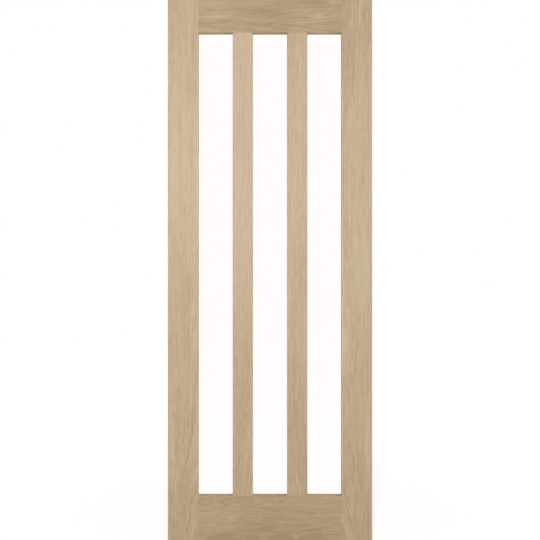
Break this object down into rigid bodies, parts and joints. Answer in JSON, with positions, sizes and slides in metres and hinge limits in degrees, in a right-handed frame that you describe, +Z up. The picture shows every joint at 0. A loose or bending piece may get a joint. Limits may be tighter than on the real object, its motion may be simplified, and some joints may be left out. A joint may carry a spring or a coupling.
{
  "type": "glazed interior door leaf",
  "caption": "Interior door leaf: rebated pale oak frame with tall clear glass panes between slim mullions, held by mitred beads at the back.",
  "frame": {"origin": "on the left long edge, seen from the front, at the foot and halfway through the thickness", "axes": "+X across the leaf to the right edge, +Y through it from the front face to the beaded back face, +Z up"},
  "size_m": [0.77, 0.035, 2.04],
  "materials": {
    "oak_upright": "satin",
    "oak_rail": "satin",
    "oak_lipping": "satin",
    "oak_bead": "satin",
    "clear_glass": "polished",
    "glazing_tape": "matte",
    "setting_block": "matte"
  },
  "bodies": {
    "root": {"left_stile": "oak_upright", "right_stile": "oak_upright", "top_rail": "oak_rail", "bottom_rail": "oak_rail", "left_mullion": "oak_upright", "right_mullion": "oak_upright", "left_edge_lipping": "oak_lipping", "right_edge_lipping": "oak_lipping", "left_pane_glass": "clear_glass", "left_pane_front_tape": "glazing_tape", "left_pane_back_tape": "glazing_tape", "left_pane_setting_blocks": "setting_block", "left_pane_sill_bead": "oak_bead", "left_pane_right_bead": "oak_bead", "left_pane_head_bead": "oak_bead", "left_pane_left_bead": "oak_bead", "middle_pane_glass": "clear_glass", "middle_pane_front_tape": "glazing_tape", "middle_pane_back_tape": "glazing_tape", "middle_pane_setting_blocks": "setting_block", "middle_pane_sill_bead": "oak_bead", "middle_pane_right_bead": "oak_bead", "middle_pane_head_bead": "oak_bead", "middle_pane_left_bead": "oak_bead", "right_pane_glass": "clear_glass", "right_pane_front_tape": "glazing_tape", "right_pane_back_tape": "glazing_tape", "right_pane_setting_blocks": "setting_block", "right_pane_sill_bead": "oak_bead", "right_pane_right_bead": "oak_bead", "right_pane_head_bead": "oak_bead", "right_pane_left_bead": "oak_bead"}
  },
  "joints": []
}
